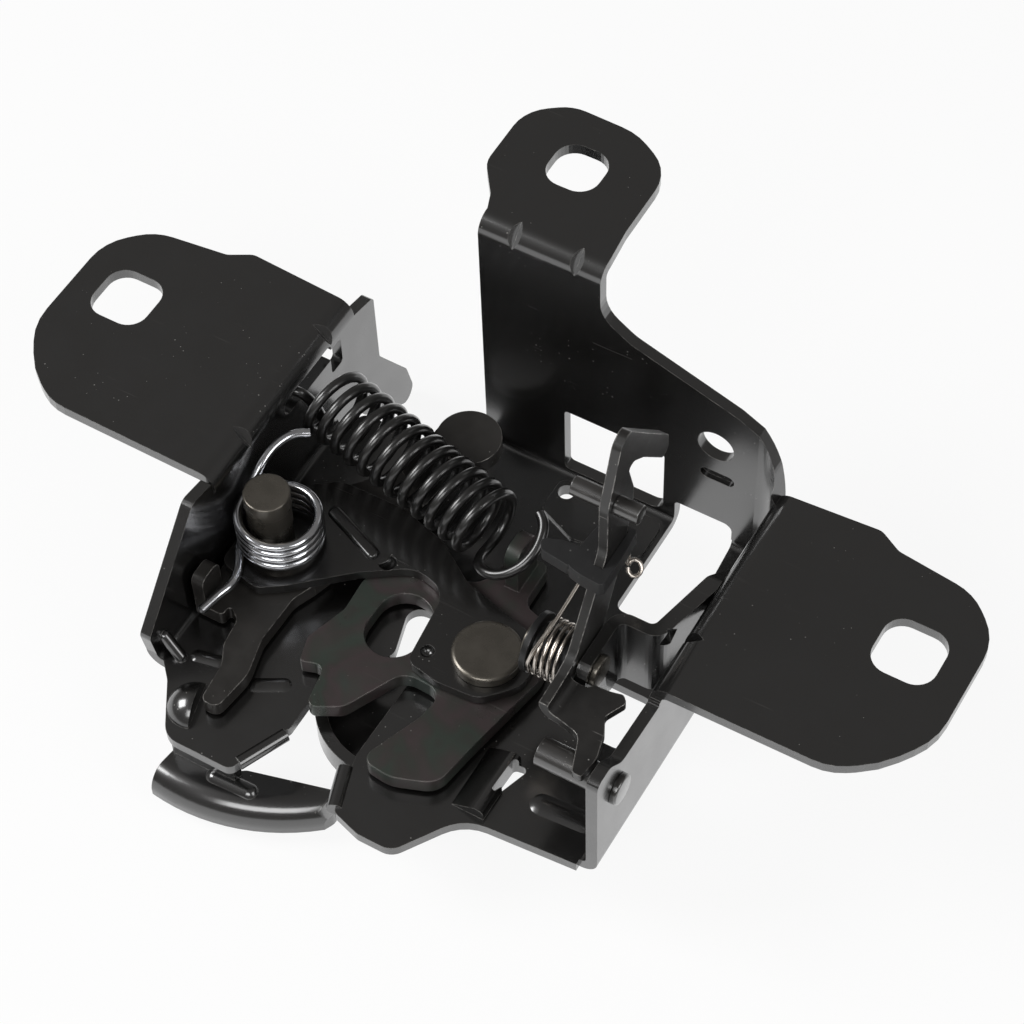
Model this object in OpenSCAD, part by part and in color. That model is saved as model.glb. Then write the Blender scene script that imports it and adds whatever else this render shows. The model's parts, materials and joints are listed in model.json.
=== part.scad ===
// Bonnet latch: a pressed steel frame that carries a rotary claw, a pawl and a release lever.
// The origin is midway between the two side bolt holes, on the underside of the side ears.

/* [Sheet] */
// Thickness of the frame's sheet
sheet_t = 2.5; // [2:0.1:3]
// Inner radius of the frame's folds
bend_r = 1.5; // [1:0.1:2.5]
// Depth of the box, from the ears' underside to the floor's underside
box_depth = 30; // [28:0.5:34]
// Inner face of the left wall, from the middle
left_wall_x = 48.4; // [48:0.2:52]
// Inner face of the right wall, from the middle
right_wall_x = 51.3; // [51:0.1:54]
// Front face of the rear wall
rear_wall_y = 25; // [25:0.5:30]
// Left edge of the rear wall
rear_wall_left_x = -18.5; // [-19:0.1:-17]
// Front edge of the box's side walls
wall_front_y = -56; // [-58:0.5:-55]

/* [Ears] */
// Distance between the side bolt holes
hole_span = 182; // [176:1:190]
// Width of the side ears' square holes
hole_w = 13.4; // [11:0.2:14]
// Corner radius of the square holes
hole_corner_r = 4.4; // [2:0.1:5]
// Underside of the upper ear, above the side ears' underside
upper_ear_rise = 39; // [34:0.5:42]
// Hole of the upper ear, across
upper_hole_x = -8.2; // [-9:0.2:-7]
// Hole of the upper ear, towards the rear
upper_hole_y = 46.8; // [46:0.2:50]
// Width of the upper ear's square hole
upper_hole_w = 11.6; // [10:0.2:12]
// Front edge of the side ears
ear_front_y = -31; // [-32:0.5:-30]
// Rear edge of the side ears
ear_rear_y = 21.8; // [20:0.2:22]

/* [Claw] */
// Claw's pivot, across
claw_x = 13.1; // [12.5:0.1:13.7]
// Claw's pivot, towards the rear
claw_y = -28.3; // [-29:0.1:-27.6]
// Thickness of the claw
claw_t = 3.8; // [3:0.1:4.2]
// Diameter of the claw stud's shank
claw_shank_d = 9; // [8:0.1:10]
// Diameter of the claw stud's head
claw_head_d = 14.6; // [13:0.2:14.8]
// Thickness of the claw stud's head
claw_head_t = 2.8; // [2:0.1:3]
// Reach of the claw's tooth from its pivot
claw_reach = 38.4; // [37.5:0.1:38.8]
// Top of the claw's spring tab, above the claw
claw_tab_h = 12; // [11:0.5:13]

/* [Pawl] */
// Pawl's pivot, across
pawl_x = -40.6; // [-41:0.1:-40.2]
// Pawl's pivot, towards the rear
pawl_y = -24.7; // [-25.2:0.1:-24.2]
// Thickness of the pawl
pawl_t = 3.6; // [3:0.1:3.8]
// Diameter of the pawl stud's shank
pawl_shank_d = 8; // [7:0.1:8.4]
// Diameter of the pawl stud's head
pawl_head_d = 9.8; // [9:0.1:10]
// Top of the pawl stud, above the floor
pawl_stud_h = 23.5; // [22:0.5:25]
// Radius of the rounded end of the release arm
lobe_r = 7; // [6:0.1:7.2]

/* [Pivot plate] */
// Thickness of the plate over the claw
plate_t = 2.4; // [2:0.1:2.8]
// Thickness of the washers under the claw and the pawl
washer_t = 0.6; // [0.5:0.1:1]

/* [Release lever] */
// Lever's hinge, towards the rear
lever_y = -29.2; // [-29.6:0.1:-28.8]
// Lever's hinge, up
lever_z = -4; // [-4.4:0.1:-3.6]
// Left face of the lever's plate
lever_x = 34; // [33.6:0.1:34.4]
// Thickness of the lever's plate
lever_t = 2; // [1.6:0.1:2.2]
// Diameter of the lever's hinge pin
lever_pin_d = 6; // [5:0.1:7]
// Top face of the lever's flange
flange_top_z = -2.4; // [-2.6:0.1:-1.5]
// Diameter of the cross pin
cross_pin_d = 4; // [3:0.1:4.6]
// Height of the cross pin
cross_pin_z = 33.6; // [32:0.2:35]
// Length of the cross pin
cross_pin_len = 14.4; // [12:0.2:16]
// Diameter of the bush's flange
bush_flange_d = 13; // [12:0.2:13.2]

/* [Stop pin] */
// Stop pin's axis, towards the front
stop_y = -48.3; // [-49:0.1:-47.8]
// Stop pin's axis, up
stop_z = -8; // [-8.6:0.1:-7.8]
// Diameter of the stop pin
stop_d = 6; // [5:0.1:6.2]
// Length of the stop pin inside the box
stop_len = 14.2; // [13:0.2:16]

/* [Springs] */
// Wire of the claw's spring
claw_wire_d = 2.3; // [2:0.1:2.5]
// Mean radius of the claw's spring
claw_coil_r = 7.3; // [6.8:0.1:7.4]
// Wire of the pawl's spring
pawl_wire_d = 2; // [1.6:0.1:2.1]
// Mean radius of the pawl's spring
pawl_coil_r = 8.3; // [8.2:0.05:8.4]
// Wire of the lever's spring
lever_wire_d = 1.1; // [0.8:0.1:1.1]
// Turns of the lever's spring
lever_turns = 5; // [4:1:5]

/* [Clearances] */
// Radial clearance of a pin in its bore
pin_clear = 0.05; // [0.02:0.01:0.1]
// Gap between faces that slide past each other
face_clear = 0.3; // [0.2:0.05:0.4]
// Gap between a moving piece and its neighbours
run_clear = 0.3; // [0.3:0.05:0.5]

/* [Hidden] */
$fn = 48;
bend_o = bend_r + sheet_t;
floor_z = -box_depth;
floor_top = floor_z + sheet_t;
hole_x = hole_span / 2;
ear_right_x = right_wall_x + bend_o;
ear_left_x = left_wall_x + bend_o;
wall_top_z = -bend_r;
wall_low_z = floor_top + bend_r;
rear_top_z = upper_ear_rise - bend_r;
corner_r = 6;
relief_y = 12;
web_z = floor_z - 12;
bridge_x = -33.2;
bridge_y = -31.1;
bridge_r = 46;
nose_r = 5;
nose_lip = 1.6;

claw_z = floor_top + washer_t + face_clear;
claw_top = claw_z + claw_t;
pawl_z = floor_top + washer_t + face_clear;
pawl_top = pawl_z + pawl_t;
plate_z = max(claw_top, pawl_top) + face_clear;
plate_top = plate_z + plate_t;
claw_washer_d = 17;
pawl_washer_d = 12;
rivet_tail_d = 12;
rivet_tail_t = 1.6;
pawl_stud_top = floor_top + pawl_stud_h;
pawl_head_t = 2.2;
lobe_x = -15.8;
lobe_y = 13.6;
lobe_rise = 9.4;
arm_way = atan2(lobe_y - pawl_y, lobe_x - pawl_x);
arm_len = norm([lobe_x - pawl_x, lobe_y - pawl_y]);
arm_w = 11;
ramp_start = 32;

tab_x = lever_x + lever_t + run_clear;
tab_tip_r = 4.8;
bracket_y = -19.8;
bracket_top_z = 0.3;
bracket_low_z = -19;
bush_len = 8.9;
bush_flange_t = 1.4;
bush_x = lever_x - run_clear - bush_len;
bush_core_d = 9;
lever_bend_r = 2;
cross_pin_y = -16.7;
eye_y = lever_y - tab_tip_r - 0.6;
toe_y = -43.4;
clip_z = 15.6;
clip_h = 3.6;
lever_coil_r = (bush_flange_d - lever_wire_d) / 2;

coil_sides = 8;
claw_turns = 12;
pawl_turns = 4.05;
pawl_coil_x = pawl_x + 2;
pawl_coil_y = pawl_y + 0.3;
pawl_coil_z = plate_top + pawl_wire_d / 2 + run_clear;
pawl_pitch = pawl_wire_d + 0.12;

// Outlines are rows of [x, y, corner radius]

function unit(v) = v / norm(v);
function turn(a, b) = a[0] * b[1] - a[1] * b[0];
function flat(row) = [row[0], row[1]];

// Points of one rounded corner at b, between a and c
function corner(a, b, c, r) =
    let (u = unit(a - b), w = unit(c - b), half = acos(max(-1, min(1, u * w))) / 2)
    r <= 0 || half > 89 ? [b] :
    let (reach = min(r / tan(half), 0.48 * min(norm(a - b), norm(c - b))), q = reach * tan(half),
        centre = b + unit(u + w) * q / sin(half), sweep = 180 - 2 * half, first = b + u * reach - centre,
        way = turn(u, w) > 0 ? -1 : 1, steps = max(2, ceil(sweep / 12)))
    [for (i = [0 : steps]) let (g = way * sweep * i / steps)
        centre + [first[0] * cos(g) - first[1] * sin(g), first[0] * sin(g) + first[1] * cos(g)]];

function rounded(rows) = let (n = len(rows))
    [for (i = [0 : n - 1]) each corner(flat(rows[(i + n - 1) % n]), flat(rows[i]),
        flat(rows[(i + 1) % n]), rows[i][2])];

function mirrored(rows) = [for (row = rows) [-row[0], row[1], row[2]]];

// Flat plate on z, from a plan outline
module plate(rows, z, t) {
    translate([0, 0, z]) linear_extrude(t) polygon(rounded(rows));
}

// Plate that faces along X, from rows of [y, z, radius]
module side_plate(rows, x, t) {
    translate([x, 0, 0]) rotate([90, 0, 90]) linear_extrude(t) polygon(rounded(rows));
}

// Plate that faces along Y, from rows of [x, z, radius]
module cross_plate(rows, y, t) {
    translate([0, y + t, 0]) rotate([90, 0, 0]) linear_extrude(t) polygon(rounded(rows));
}

// Quarter of a tube of sheet in the first quadrant, standing on z = 0
module fold(length, r = bend_r, t = sheet_t) {
    linear_extrude(length) intersection() {
        difference() {
            circle(r + t);
            circle(r);
        }
        square(r + t);
    }
}

// Fold that runs along Y between two places: hand turns it about its own axis
module fold_y(x, z, y0, y1, hand) {
    translate([x, y1, z]) rotate([90, 0, 0]) rotate([0, 0, hand]) fold(y1 - y0);
}

// Fold that runs along X
module fold_x(y, z, x0, x1, hand) {
    translate([x0, y, z]) rotate([90, 0, 90]) rotate([0, 0, hand]) fold(x1 - x0);
}

// Round bar between two points, with ball ends
module bar(a, b, r) {
    span = b - a;
    reach = norm(span);
    translate(a) rotate([0, acos(span[2] / reach), atan2(span[1], span[0])]) rotate_extrude() intersection() {
        union() {
            circle(r);
            translate([-r, 0]) square([2 * r, reach]);
            translate([0, reach]) circle(r);
        }
        translate([0, -r]) square([r, reach + 2 * r]);
    }
}

// Round rod between two points, with cut ends
module rod(a, b, r) {
    span = b - a;
    reach = norm(span);
    translate(a) rotate([0, acos(span[2] / reach), atan2(span[1], span[0])]) cylinder(r = r, h = reach);
}

// Bead pressed up out of the floor, between two plan points
module floor_bead(a, b, w, h) {
    sink = (w * w / 4 - h * h) / (2 * h);
    on_floor() bar([a[0], a[1], floor_top - sink], [b[0], b[1], floor_top - sink], h + sink);
}

// Keeps only what stands on the floor
module on_floor() {
    intersection() {
        children();
        translate([-60, -90, floor_top - 1]) cube([120, 120, 20]);
    }
}

module square_hole(x, y, w, z) {
    h = w / 2;
    plate([[x - h, y - h, hole_corner_r], [x + h, y - h, hole_corner_r],
        [x + h, y + h, hole_corner_r], [x - h, y + h, hole_corner_r]], z - 1, sheet_t + 2);
}

// Ring of n points round a path point, square to the path
function ring_at(p, way, r, n) =
    let (side = unit(cross(way, abs(way[2]) > 0.9 ? [1, 0, 0] : [0, 0, 1])), up = cross(side, way))
    [for (k = [0 : n - 1]) p + r * (cos(360 * k / n) * side + sin(360 * k / n) * up)];

// Direction of a path at one of its points
function heading(path, i) = unit(path[min(i + 1, len(path) - 1)] - path[max(i - 1, 0)]);

// Round wire along a path
module wire(path, r, n = coil_sides) {
    m = len(path);
    points = [for (i = [0 : m - 1]) each ring_at(path[i], heading(path, i), r, n)];
    sides = [for (i = [0 : m - 2], k = [0 : n - 1]) let (j = (k + 1) % n)
        [i * n + k, (i + 1) * n + k, (i + 1) * n + j, i * n + j]];
    ends = [[for (k = [0 : n - 1]) k], [for (k = [n - 1 : -1 : 0]) (m - 1) * n + k]];
    polyhedron(points, concat(sides, ends), convexity = 10);
}

// Smooth points along a few control points
function bow(p, q, r, s, t) = 0.5 * ((2 * q) + (r - p) * t + (2 * p - 5 * q + 4 * r - s) * t * t
    + (3 * q - p - 3 * r + s) * t * t * t);
function smooth(pts, n = 5) = let (m = len(pts))
    [for (i = [0 : m - 2], k = [0 : n - 1])
        bow(pts[max(i - 1, 0)], pts[i], pts[i + 1], pts[min(i + 2, m - 1)], k / n), pts[m - 1]];

// Outline of a side ear on the right, from its fold outwards
function ear_rows(fold_x) = [[fold_x, ear_front_y, 0], [hole_x - 2, ear_front_y + 0.4, 12],
    [hole_x + 6, ear_front_y + 5.6, 22], [hole_x + 13, ear_front_y + 15.6, 15],
    [hole_x + 13, ear_rear_y - 11.4, 12], [hole_x + 5, ear_rear_y - 3.6, 12],
    [hole_x - 12, ear_rear_y - 1.6, 3], [hole_x - 17, ear_rear_y + 1.2, 3], [fold_x, ear_rear_y, 0]];

upper_right_x = upper_hole_x + 17.4;
upper_ear_rows = [[rear_wall_left_x, rear_wall_y + bend_o, 0],
    [rear_wall_left_x - 1.4, rear_wall_y + bend_o + 3.6, 2],
    [upper_hole_x - 16.8, upper_hole_y - 7.3, 6], [upper_hole_x - 17, upper_hole_y + 8.6, 12],
    [upper_hole_x - 9, upper_hole_y + 14.4, 9], [upper_hole_x + 6, upper_hole_y + 14, 14],
    [upper_hole_x + 16.4, upper_hole_y + 8, 11], [upper_hole_x + 16.6, upper_hole_y - 10, 10],
    [upper_right_x, rear_wall_y + bend_o, 0]];

// Rear wall in [x, z]: the right edge sweeps down from the upper ear to the right wall
rear_right_x = right_wall_x - corner_r;
rear_rows = [[rear_wall_left_x, wall_low_z, 0], [rear_right_x, wall_low_z, 0], [rear_right_x, 12.4, 0],
    [rear_right_x - 5, 15.2, 6], [16, 23.8, 9], [upper_right_x, 28.6, 7], [upper_right_x, rear_top_z, 0],
    [rear_wall_left_x, rear_top_z, 0]];

// Side walls in [y, z]
left_rows = [[wall_front_y - 1.5, wall_low_z, 0], [wall_front_y - 2.5, -19.5, 2],
    [ear_front_y - 7.5, sheet_t + 0.6, 2.5], [ear_front_y - 0.6, sheet_t - 0.6, 1],
    [ear_front_y - 0.6, wall_top_z, 0], [ear_rear_y, wall_top_z, 0], [29.3, -3.4, 1.5],
    [29.6, -23.5, 2], [39.4, -38.5, 4], [41.6, -47, 3], [38.5, -50, 2.5], [22, -36, 5],
    [19, floor_z, 6], [relief_y, floor_z, 0], [relief_y, wall_low_z, 0]];
right_rows = [[wall_front_y, wall_low_z, 0], [wall_front_y, sheet_t + 0.6, 2],
    [wall_front_y + 5, sheet_t + 0.6, 3], [wall_front_y + 9.5, -1.4, 4], [ear_front_y - 0.6, -2.4, 1],
    [ear_front_y - 0.6, wall_top_z, 0], [rear_wall_y - corner_r, wall_top_z, 0],
    [rear_wall_y - corner_r, wall_low_z, 0]];

// Floor in plan: the striker's slot opens to the front
floor_left = -left_wall_x + bend_r;
floor_right = right_wall_x - bend_r;
floor_rows = [[floor_left, wall_front_y - 1.5, 0], [-43.6, -61, 4], [-36.5, -72.4, 5], [-21, -72.4, 2],
    [-19.4, -68.8, 1], [-16.8, -60.3, 1.5], [-15.5, -58.5, 1.5], [-15.5, -46, 3], [-6.5, -33, 3],
    [-10, -21, 3], [0, -20, 4], [-0.6, -57, 2], [2.4, -70.4, 1.5], [9, -72.4, 3], [16.8, -72.4, 4],
    [25.6, -59, 10], [floor_right, -57.2, 0], [floor_right, rear_wall_y - bend_r, 0],
    [rear_wall_left_x, rear_wall_y - bend_r, 0], [rear_wall_left_x, 17, 3],
    [floor_left + 1.5, 17, 3], [floor_left + 1.5, relief_y, 0.5], [floor_left, relief_y, 0]];

// Pressed notch across a fold, centred on the fold's own axis
module fold_notch() {
    side = 3;
    rotate([45, 0, 0]) translate([0, 0, bend_o - 1.3 + side / sqrt(2)]) rotate([0, 45, 0])
        cube([side, 14, side], center = true);
}

module side_ear(rows) {
    plate(rows, 0, sheet_t);
}

// Bridge drawn down below the floor, across the mouth of the striker's slot: a web with a rolled nose
module bridge() {
    intersection() {
        translate([bridge_x, bridge_y, web_z]) rotate([0, 0, -98]) rotate_extrude(angle = 54) {
            translate([bridge_r - 20, 0]) square([20 - nose_r, sheet_t]);
            translate([bridge_r - nose_r, sheet_t - nose_r]) intersection() {
                difference() {
                    circle(nose_r);
                    circle(nose_r - sheet_t);
                }
                square(nose_r);
            }
            translate([bridge_r - sheet_t, sheet_t - nose_r - nose_lip]) square([sheet_t, nose_lip]);
        }
        plate([[-39.2, -80, 0], [-9, -80, 0], [-5.2, -69.4, 4], [-2.8, -64.4, 3], [-2.8, -60.2, 0.5],
            [-22.7, -65.5, 2], [-24.2, -66.6, 2], [-39.2, -66.6, 1]], web_z - 8, 16);
    }
    intersection() {
        bar([-27.6, -69.6, web_z + 1.4], [-19.6, -69.2, web_z + 1.4], 2.2);
        translate([-40, -80, web_z + 1]) cube([40, 20, 4]);
    }
    translate([-38.2, -69.2, web_z + 0.5]) cube([15.2, sheet_t, floor_z - web_z]);
    cross_plate([[-5.6, web_z + 0.2, 0], [-2.9, web_z + 0.2, 0], [2.4, floor_z + 1, 0],
        [-0.2, floor_z + 1, 0]], -66, 5);
}

// Strap drawn round the inner end of the striker's slot, under the floor
module slot_strap() {
    translate([0.5, -41, floor_z - 6]) rotate([0, 0, 193]) rotate_extrude(angle = 94)
        translate([15.6, 0]) square([sheet_t, 6.4]);
}

// Arm lanced out of the right wall, which carries the lever's hinge: a bent strip, seen in plan
module hinge_bracket() {
    root_x = right_wall_x + 0.2;
    back_y = bracket_y + sheet_t;
    low = bracket_low_z;
    intersection() {
        plate([[tab_x, lever_y - tab_tip_r - 1, 0], [tab_x, back_y, bend_o], [44.8, back_y, bend_r],
            [48.4, -2, 4], [root_x, 4, 0], [root_x, -4, 0], [47.4, bracket_y, bend_o],
            [tab_x + sheet_t, bracket_y, bend_r], [tab_x + sheet_t, lever_y - tab_tip_r - 1, 0]],
            low, bracket_top_z - low);
        side_plate([[lever_y - tab_tip_r, lever_z - tab_tip_r, tab_tip_r],
            [lever_y + 3, lever_z - tab_tip_r, 3], [bracket_y - 5, low, 2], [6, low, 0],
            [6, bracket_top_z - 3, 0], [-2, bracket_top_z, 3],
            [lever_y + tab_tip_r, lever_z + tab_tip_r, 3],
            [lever_y - tab_tip_r, lever_z + tab_tip_r, tab_tip_r]], 20, 50);
    }
}

module base_frame() color("#1d1d1e") difference() {
    union() {
        side_ear(ear_rows(ear_right_x));
        side_ear(mirrored(ear_rows(ear_left_x)));
        fold_y(ear_right_x, wall_top_z, ear_front_y, ear_rear_y, 90);
        fold_y(-ear_left_x, wall_top_z, ear_front_y, ear_rear_y, 0);
        side_plate(left_rows, -left_wall_x - sheet_t, sheet_t);
        side_plate(right_rows, right_wall_x, sheet_t);
        fold_y(floor_left, wall_low_z, wall_front_y - 1.5, relief_y, 180);
        fold_y(floor_right, wall_low_z, wall_front_y, rear_wall_y - corner_r, 270);
        plate(floor_rows, floor_z, sheet_t);
        fold_x(rear_wall_y - bend_r, wall_low_z, rear_wall_left_x, rear_right_x, 270);
        cross_plate(rear_rows, rear_wall_y, sheet_t);
        fold_x(rear_wall_y + bend_o, rear_top_z, rear_wall_left_x, upper_right_x, 90);
        plate(upper_ear_rows, upper_ear_rise, sheet_t);
        rear_corner();
        bridge();
        slot_strap();
        hinge_bracket();
        floor_bead([-27.2, -53.2], [-22.2, -50.4], 3.4, 0.5);
        floor_bead([-41.4, -53], [-36.6, -52], 3, 0.4);
        bar([-48.1, -54.4, -23.2], [-44.2, -55, -27.2], 1.3);
        floor_bead([37.5, -48.8], [46.5, -48.2], 5, 0.6);
        pawl_stop();
        floor_ramp();
        slot_rolls();
        plate([[1.5, 13.5, 2], [11, 9.5, 2], [26, 12, 2], [26, 22.5, 2], [1.5, 22.5, 2]],
            floor_top - 0.4, 1.1);
    }
    square_hole(hole_x, 0, hole_w, 0);
    square_hole(-hole_x, 0, hole_w, 0);
    square_hole(upper_hole_x, upper_hole_y, upper_hole_w, upper_ear_rise);
    frame_windows();
    frame_bores();
    for (x = [upper_hole_x - 2.5, upper_hole_x + 11.5])
        translate([x, rear_wall_y + bend_o, rear_top_z]) fold_notch();
    for (y = [ear_rear_y - 9, ear_front_y + 13])
        translate([-ear_left_x, y, wall_top_z]) rotate([0, 0, 90]) fold_notch();
    translate([ear_right_x, ear_front_y + 14, wall_top_z]) rotate([0, 0, -90]) fold_notch();
}

// Upright corner where the rear wall turns into the right wall
module rear_corner() {
    low = wall_low_z;
    intersection() {
        translate([rear_right_x, rear_wall_y - corner_r, low]) linear_extrude(40 - low) intersection() {
            difference() {
                circle(corner_r + sheet_t);
                circle(corner_r);
            }
            square(corner_r + sheet_t);
        }
        cross_plate([[rear_right_x, low, 0], [right_wall_x + sheet_t, low, 0],
            [right_wall_x + sheet_t, wall_top_z, 3], [right_wall_x - 1, 6, 6], [rear_right_x, 12.4, 0]],
            rear_wall_y - 10, 20);
    }
}

// Half dome lanced up out of the floor beside the pawl's tip
module pawl_stop() {
    intersection() {
        on_floor() translate([-35.4, -63.4, floor_top - 2.2]) sphere(6);
        plate([[-50, -76, 0], [-33.2, -69.4, 0], [-36.4, -57, 0], [-50, -57, 0]], floor_top - 1, 8);
    }
}

// Tongue lanced up out of the floor, right of the claw
module floor_ramp() {
    cross_plate([[20.9, floor_top - 0.4, 0], [27.4, floor_top + 2.8, 1.6], [29, floor_top + 2, 0.8],
        [29, floor_top - 0.4, 0]], -57.5, 15);
}

// Edges of the striker's slot, rolled over
module slot_rolls() {
    rod([-20.6, -69.8, floor_top - 1.2], [-16, -59.5, floor_top - 1.2], 1.5);
    rod([-1, -60.4, floor_top - 1.2], [2, -69.4, floor_top - 1.2], 1.9);
}

module frame_windows() {
    through = sheet_t + 2;
    // Window in the floor and the foot of the rear wall
    plate([[27.2, -1, 2], [42.4, -1, 2], [40.6, 28, 0], [27.2, 28, 0]], floor_z - 1, through + 0.6);
    cross_plate([[27.2, floor_z - 1, 0], [40.6, floor_z - 1, 0], [40.6, floor_z + 8.7, 2],
        [27.2, floor_z + 8.7, 1]], rear_wall_y - 4, 10);
    // Window under the hinge bracket
    plate([[30.5, -30.5, 2], [46, -30.5, 3], [46, -17, 3], [30.5, -17, 3]], floor_z - 1, through);
    // Slanted gap beside the raised rib
    plate([[27.6, -54.2, 0.4], [31.4, -43, 1], [28, -43.6, 1]], floor_z - 1, through + 3);
    // Window in the rear wall
    cross_plate([[0.8, floor_z + 3.6, 1], [24.4, floor_z + 3.6, 3], [24.4, floor_z + 23, 1],
        [0.8, floor_z + 23, 1]], rear_wall_y - 1, through);
    // Slots in the left wall, for the springs' ends
    outside_x = -left_wall_x - sheet_t - 1;
    side_plate([[-5.5, -6, 2], [12.5, -6, 1], [12.5, -1.3, 1], [-5.5, -1.3, 2]], outside_x, through);
    side_plate([[12, -10.5, 1], [16.2, -10.5, 1], [16.2, -3, 1], [12, -3, 0.5]], outside_x, through);
    // Window in the right wall, from which the bracket is lanced
    side_plate([[bracket_y, bracket_low_z - 1, 2], [-5, bracket_low_z - 1, 3], [-5, -4, 3],
        [bracket_y, -4, 2]], right_wall_x - 1, through);
    // Round hole and pressed oblong in the rear wall
    translate([35.9, rear_wall_y - 1, 3.2]) rotate([-90, 0, 0]) cylinder(d = 8.2, h = through);
    for (x = [34.2, 39])
        translate([x, rear_wall_y - 1, -6.6]) rotate([-90, 0, 0]) cylinder(d = 3, h = 2.2);
    translate([34.2, rear_wall_y - 1, -8.1]) cube([4.8, 2.2, 3]);
    // Locating hole in the floor
    translate([4.2, 19.5, floor_z - 1]) cylinder(d = 3.6, h = through + 1);
}

module frame_bores() {
    translate([claw_x, claw_y, floor_z - 1]) cylinder(d = claw_shank_d + 2 * pin_clear, h = sheet_t + 2);
    translate([pawl_x, pawl_y, floor_z - 1]) cylinder(d = pawl_shank_d + 2 * pin_clear, h = sheet_t + 2);
    translate([tab_x - 1, lever_y, lever_z]) rotate([0, 90, 0])
        cylinder(d = lever_pin_d + 2 * pin_clear, h = sheet_t + 2);
    translate([right_wall_x - 1, stop_y, stop_z]) rotate([0, 90, 0])
        cylinder(d = stop_d - 1.5 + 2 * pin_clear, h = sheet_t + 2);
}

// Claw in plan: rows go round from the arm under the plate, by the teeth, notch and hook, to the tail
claw_rows = [[-20, -21.5, 4], [-19.4, -31, 4], [-22.4, -40.3, 2], [claw_x - claw_reach + 4.6, -46.3, 0.8],
    [-15.6, -44.6, 2], [-14.7, -50, 4], [-13.9, -54.9, 1.6], [-7, -51.2, 4], [-0.6, -38.2, 4.4],
    [8.8, -38.6, 4.6], [7.4, -46, 4], [2, -59.8, 2.4], [9.5, -60.6, 8], [18.6, -57.2, 5],
    [20, -48, 8], [24.2, -25.5, 8], [21, -14.5, 6], [12.2, -12, 3], [12, -1, 2], [4.5, -1, 2],
    [2, -12, 5], [-9, -14.8, 7]];

module claw() color("#3a3634") {
    difference() {
        plate(claw_rows, claw_z, claw_t);
        translate([claw_x, claw_y, claw_z - 1]) cylinder(d = claw_shank_d + 2 * pin_clear, h = claw_t + 2);
        for (y = [-27, -31])
            translate([-7.6, y, claw_z - 1]) cylinder(r = 6, h = claw_t + 2);
        translate([-13.6, -31, claw_z - 1]) cube([12, 4, claw_t + 2]);
    }
    tab_top = claw_top + claw_tab_h;
    side_plate([[-10, claw_z, 0], [-10, tab_top, 3], [-2, tab_top, 3], [-2, claw_z, 0]], 6.4, 3.2);
}

// Headed stud: rivet tail under the floor, shank, and a head on the plate
module claw_stud() color("#4a4542") {
    translate([claw_x, claw_y, floor_z - rivet_tail_t]) cylinder(d = rivet_tail_d, h = rivet_tail_t);
    translate([claw_x, claw_y, floor_z - 0.1]) cylinder(d = claw_shank_d, h = plate_top - floor_z + 0.2);
    translate([claw_x, claw_y, plate_top]) cylinder(d = claw_head_d, h = claw_head_t - 0.6);
    translate([claw_x, claw_y, plate_top + claw_head_t - 0.6])
        cylinder(d1 = claw_head_d, d2 = claw_head_d - 1.2, h = 0.6);
}

module washer_on(x, y, d, bore_d) {
    translate([x, y, floor_top]) difference() {
        cylinder(d = d, h = washer_t);
        translate([0, 0, -1]) cylinder(d = bore_d + 2 * pin_clear, h = washer_t + 2);
    }
}

module claw_washer() color("#8c8a86") washer_on(claw_x, claw_y, claw_washer_d, claw_shank_d);

module pawl_washer() color("#8c8a86") washer_on(pawl_x, pawl_y, pawl_washer_d, pawl_shank_d);

plate_rows = [[pawl_x - 6.4, -35, 3], [-37, -37, 3], [-32, -33.6, 2], [-20.6, -23.4, 6], [-11, -16.8, 7],
    [-2.6, -18.6, 6], [-1.6, -27.5, 4], [-0.6, -37, 2.5], [7, -38.4, 8], [16.5, -37.8, 6],
    [claw_x + 9.6, -31, 6], [claw_x + 9, -20, 7], [claw_x - 2, -17.4, 6], [0, -14.4, 6],
    [-9, -8.3, 8], [-21, -5, 4], [-36, -5.2, 6], [pawl_x - 6.6, -14, 5]];

module pivot_plate() color("#222121") {
    difference() {
        plate(plate_rows, plate_z, plate_t);
        translate([claw_x, claw_y, plate_z - 1]) cylinder(d = claw_shank_d + 2 * pin_clear, h = plate_t + 2);
        translate([pawl_x, pawl_y, plate_z - 1]) cylinder(d = pawl_shank_d + 2 * pin_clear, h = plate_t + 2);
        translate([1.8, -33, plate_top]) sphere(1.5);
        translate([-16.6, -18.4, plate_top + 0.6]) sphere(2);
    }
    intersection() {
        bar([-28, -14.2, plate_top - 2.2], [-19.5, -17.3, plate_top - 2.2], 3.4);
        translate([-60, -60, plate_top - 0.2]) cube([120, 120, 4]);
    }
}

// Pawl in plan: rows go round from the nose, up the claw's side, along the release arm and back
pawl_rows = [[-29.2, -63.8, 2], [-33.1, -63.6, 1.5], [-34, -54.6, 4], [-36.4, -50.2, 3], [-37.2, -44, 2],
    [-40.5, -41.5, 1], [-40.5, -44.5, 1], [-47.2, -44.5, 1.5], [-47.2, pawl_y - 8, 3], [-47, pawl_y + 6, 6],
    [-43, -13, 6], [-29, 4, 1], [-20.5, -2.6, 1], [-31, -18.5, 6], [-26.6, -24.5, 2], [-28, -29, 3],
    [-30, -34, 5], [-30.2, -45.5, 6], [-28, -54, 8]];

module pawl() color("#33302e") {
    difference() {
        plate(pawl_rows, pawl_z, pawl_t);
        translate([pawl_x, pawl_y, pawl_z - 1]) cylinder(d = pawl_shank_d + 2 * pin_clear, h = pawl_t + 2);
    }
    release_arm();
    side_plate([[-44.5, pawl_z, 0], [-44.5, pawl_top + 9, 2], [-38.4, pawl_top + 9, 2], [-38.4, pawl_z, 0]],
        -47.2, 2.8);
}

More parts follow.
